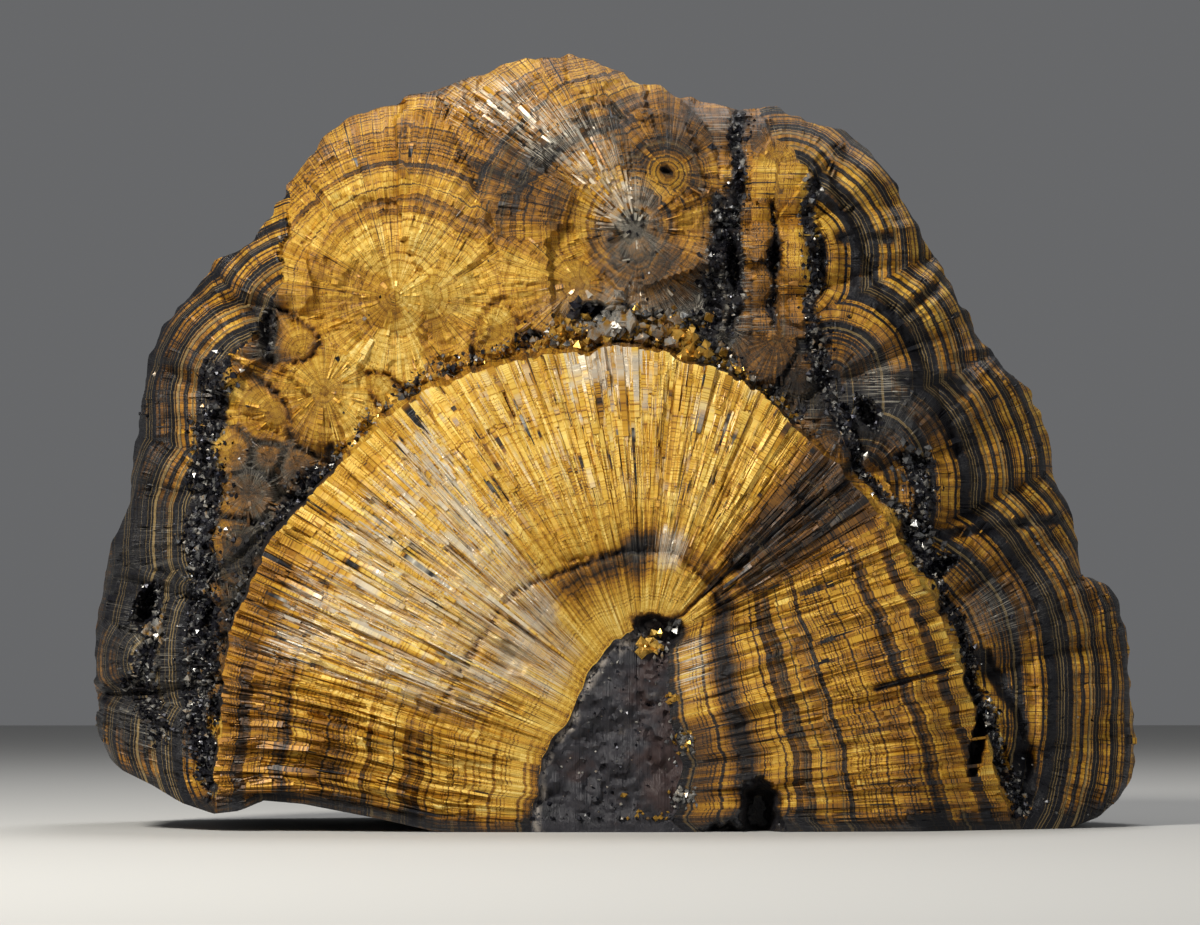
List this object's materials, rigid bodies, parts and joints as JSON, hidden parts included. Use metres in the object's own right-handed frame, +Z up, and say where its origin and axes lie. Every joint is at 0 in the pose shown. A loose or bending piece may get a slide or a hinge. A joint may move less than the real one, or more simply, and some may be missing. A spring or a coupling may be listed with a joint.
{
  "type": "rough goethite specimen",
  "caption": "Rough piece of goethite with a broken face that shows a fan of radiating fibres, and kidney-shaped lobes round its sides and back.",
  "frame": {"origin": "middle of the box on the plane that the stone rests on", "axes": "+Z up, -Y out of the broken face, +X to the viewer's right along the stone's width"},
  "size_m": [0.3119, 0.1504, 0.231],
  "materials": {
    "goethite": "silky fibrous, golden brown with near-black bands"
  },
  "bodies": {
    "root": {"goethite": "goethite"}
  },
  "joints": []
}
